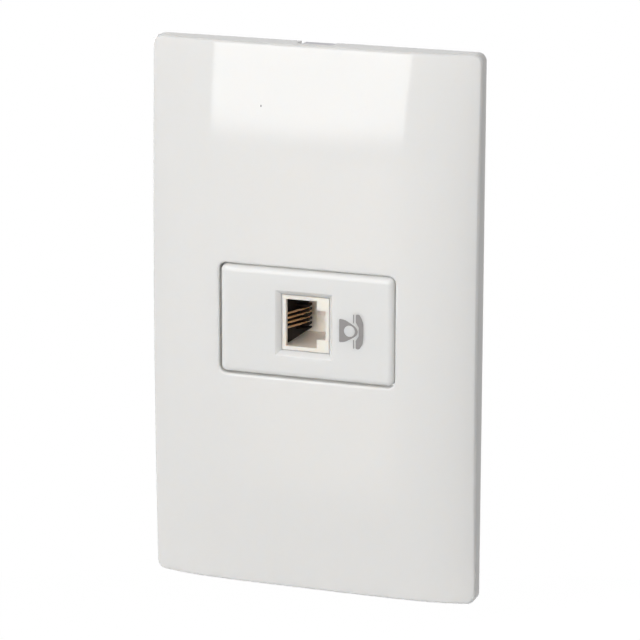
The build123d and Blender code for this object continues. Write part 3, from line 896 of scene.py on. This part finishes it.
class SOCKET_OT_drop_fleck(bpy.types.Operator):
    """Leave the small dark fleck on the upper part of the plate"""

    bl_idname = "socket.drop_fleck"
    bl_label = "Leave the Fleck"

    def execute(self, context):
        fleck = context.scene.socket_fleck
        in_front = Vector((fleck.place_x, 2 * cad_low.y, fleck.place_z))
        plate = frame["nodes"]["cover_plate"]
        found, spot, normal, index = plate.ray_cast(in_front, Vector((0, 1, 0)))
        if not found:
            raise RuntimeError("the plate's front wasn't found under the fleck")
        bm = bmesh.new()
        bmesh.ops.create_icosphere(bm, subdivisions=3, radius=1.0)
        half_sizes = (fleck.half_width, fleck.half_thickness, fleck.half_length)
        bmesh.ops.scale(bm, verts=bm.verts[:], vec=half_sizes)
        for vert in bm.verts:
            vert.co.x += fleck.bow * (vert.co.z / mm) ** 2
        lean = Vector((0, -1, 0)).rotation_difference(normal).to_matrix().to_4x4()
        bmesh.ops.transform(bm, matrix=Matrix.Translation(spot) @ lean, verts=bm.verts[:])
        dust = moulded(
            "fleck_dust",
            context.scene.socket_plastics.fleck,
            patch=4000.0,
            drift=0.3,
            roughness=0.8,
            roughness_drift=0.1,
            grain=9000.0,
            depth=0.01 * mm,
        )
        smooth_faces(finished(bm, "dust_fleck", dust))
        return {"FINISHED"}


# Studio

def rays_that_see(tree):
    """1 for the camera, for reflections and for what shows through glass."""
    path = tree.nodes.new("ShaderNodeLightPath").outputs
    seen = arithmetic(tree, "MAXIMUM", path["Is Camera Ray"], path["Is Glossy Ray"])
    return arithmetic(tree, "MAXIMUM", seen, path["Is Transmission Ray"])


def direction(azimuth, elevation):
    """Towards the viewer's side: azimuth 0 is the front and turns to the right."""
    return Vector((sin(azimuth) * cos(elevation), -cos(azimuth) * cos(elevation), sin(elevation)))


def area_lamp(name, width, height, radiance, place, target, lean=0.0):
    """A rectangular lamp at a place, pointed at the target and turned about its own axis by lean."""
    lamp = bpy.data.lights.new(name, "AREA")
    lamp.shape = "RECTANGLE"
    lamp.size = width
    lamp.size_y = height
    lamp.energy = radiance * pi * width * height
    holder = bpy.data.objects.new(name, lamp)
    holder.visible_camera = False
    facing = (target - place).to_track_quat("-Z", "Y").to_matrix().to_4x4()
    holder.matrix_world = Matrix.Translation(place) @ facing @ Matrix.Rotation(-lean, 4, "Z")
    bpy.context.scene.collection.objects.link(holder)
    return holder


def fade_below(lamp, dark_z, bright_z):
    """Fades a lamp out between two heights."""
    lamp.use_nodes = True
    tree = lamp.node_tree
    place = tree.nodes.new("ShaderNodeNewGeometry").outputs["Position"]
    height = add_node(tree, "ShaderNodeSeparateXYZ", {"Vector": place}).outputs["Z"]
    ends = {"Value": height, "From Min": dark_z, "From Max": bright_z}
    fade = add_node(tree, "ShaderNodeMapRange", ends, interpolation_type="SMOOTHSTEP")
    feed(tree, tree.nodes["Emission"].inputs["Strength"], fade.outputs["Result"])


class SOCKET_OT_set_stage(bpy.types.Operator):
    """Set the floor, the lamps, the world and the camera"""

    bl_idname = "socket.set_stage"
    bl_label = "Set the Stage"

    def execute(self, context):
        studio = context.scene.socket_studio
        self.lay_floor(studio)
        self.light_room(context.scene, studio)
        self.hang_lamps(studio)
        self.stand_camera(context.scene, studio)
        context.scene.view_settings.view_transform = "Standard"
        return {"FINISHED"}

    def lay_floor(self, studio):
        bm = bmesh.new()
        low = Matrix.Translation((0, 0, -studio.floor_drop))
        bmesh.ops.create_circle(bm, cap_ends=True, radius=studio.floor_r, segments=96, matrix=low)
        mesh = bpy.data.meshes.new("floor")
        bm.to_mesh(mesh)
        bm.free()
        material, tree, shader = new_material("floor_paper", roughness=0.9, specular_ior_level=0.0)
        paper = {"Color": opaque(studio.floor_tint), "Patch Scale": 1.5, "Tone Drift": 0.01}
        skin = place_group(tree, "Moulded Skin", paper)
        feed(tree, shader["Base Color"], skin["Color"])
        shader["Emission Color"].default_value = (1.0, 1.0, 1.0, 1.0)
        lift = arithmetic(tree, "MULTIPLY", rays_that_see(tree), studio.floor_lift)
        feed(tree, shader["Emission Strength"], lift)
        mesh.materials.append(material)
        floor = bpy.data.objects.new("floor", mesh)
        bpy.context.scene.collection.objects.link(floor)

    def light_room(self, scene, studio):
        world = bpy.data.worlds.new("studio")
        world.use_nodes = True
        scene.world = world
        tree = world.node_tree
        seen_part = rays_that_see(tree)
        level = arithmetic(tree, "MULTIPLY_ADD", seen_part, 1.0 - studio.room_light, studio.room_light)
        background = tree.nodes["Background"]
        background.inputs["Color"].default_value = (1.0, 1.0, 1.0, 1.0)
        feed(tree, background.inputs["Strength"], level)

    def hang_lamps(self, studio):
        self.hang_softbox(studio)
        for role in ("key", "fill", "back"):
            azimuth, elevation, distance, width, height, radiance = (
                getattr(studio, f"{role}_{part}")
                for part in ("azimuth", "elevation", "distance", "width", "height", "radiance")
            )
            place = direction(azimuth, elevation) * distance
            lamp = area_lamp(f"{role}_lamp", width, height, radiance, place, Vector((0, 0, 0)))
            lamp.visible_glossy = role != "fill"

    def hang_softbox(self, studio):
        """The tall lamp whose glare lies on the plate's upper half, seen from there by its directions."""
        reach = studio.softbox_distance
        mirror_spot = Vector((0, 0, studio.glare_z))

        def height_at(elevation):
            return mirror_spot.z + reach * tan(elevation)

        heading = direction((studio.softbox_left + studio.softbox_right) / 2, 0.0)
        width = 2 * reach * tan((studio.softbox_right - studio.softbox_left) / 2)
        low, high = height_at(studio.softbox_foot), height_at(studio.softbox_top)
        fade_middle = height_at((studio.fade_top + studio.fade_end) / 2)
        across = Vector((-heading.y, heading.x, 0))
        place = mirror_spot + heading * reach
        place.z = (low + high) / 2
        place += across * (place.z - fade_middle) * tan(studio.softbox_lean)
        tall = (high - low) / cos(studio.softbox_lean)
        softbox = area_lamp(
            "softbox", width, tall, studio.softbox_radiance, place, place - heading, studio.softbox_lean
        )
        softbox.visible_diffuse = False
        fade_below(softbox.data, height_at(studio.fade_end), height_at(studio.fade_top))

    def stand_camera(self, scene, studio):
        camera = bpy.data.cameras.new("camera")
        camera.sensor_fit = "AUTO"
        camera.sensor_width = sensor_side
        camera.lens = studio.lens_pixels / image_side * sensor_side
        holder = bpy.data.objects.new("camera", camera)
        back = direction(studio.azimuth, studio.elevation)
        level_right = Vector((cos(studio.azimuth), sin(studio.azimuth), 0))
        level_up = back.cross(level_right)
        right = level_right * cos(studio.roll) + level_up * sin(studio.roll)
        up = back.cross(right)
        place = Vector(studio.target) + back * studio.distance
        holder.matrix_world = Matrix.Translation(place) @ Matrix((right, up, back)).transposed().to_4x4()
        camera.clip_start = 0.01
        camera.clip_end = 20.0
        scene.collection.objects.link(holder)
        scene.camera = holder


class SOCKET_PT_panel(bpy.types.Panel):
    """The steps and settings of the wall socket"""

    bl_idname = "SOCKET_PT_panel"
    bl_label = "Wall Socket"
    bl_space_type = "VIEW_3D"
    bl_region_type = "UI"
    bl_category = "Wall Socket"

    def draw(self, context):
        layout = self.layout
        for name in steps:
            layout.operator(f"socket.{name}")
        for group in settings:
            box = layout.box()
            values = getattr(context.scene, group)
            for prop in values.bl_rna.properties:
                if prop.identifier not in ("rna_type", "name"):
                    box.prop(values, prop.identifier)


steps = (
    "finish_casings",
    "print_sign",
    "finish_jack",
    "finish_contacts",
    "finish_board",
    "finish_terminals",
    "drop_fleck",
    "set_stage",
)

settings = {
    "socket_plastics": PlasticColours,
    "socket_metals": MetalColours,
    "socket_sign": SignSizes,
    "socket_solder": SolderSizes,
    "socket_fleck": FleckSizes,
    "socket_studio": StudioSettings,
}

operators = (
    SOCKET_OT_finish_casings,
    SOCKET_OT_print_sign,
    SOCKET_OT_finish_jack,
    SOCKET_OT_finish_contacts,
    SOCKET_OT_finish_board,
    SOCKET_OT_finish_terminals,
    SOCKET_OT_drop_fleck,
    SOCKET_OT_set_stage,
)


def register():
    for group in settings.values():
        bpy.utils.register_class(group)
    for operator in operators:
        bpy.utils.register_class(operator)
    bpy.utils.register_class(SOCKET_PT_panel)
    for name, group in settings.items():
        setattr(bpy.types.Scene, name, PointerProperty(type=group))


def unregister():
    for name in settings:
        delattr(bpy.types.Scene, name)
    bpy.utils.unregister_class(SOCKET_PT_panel)
    for operator in reversed(operators):
        bpy.utils.unregister_class(operator)
    for group in reversed(tuple(settings.values())):
        bpy.utils.unregister_class(group)


def main():
    register()
    for name in steps:
        getattr(bpy.ops.socket, name)()


if __name__ == "__main__":
    main()
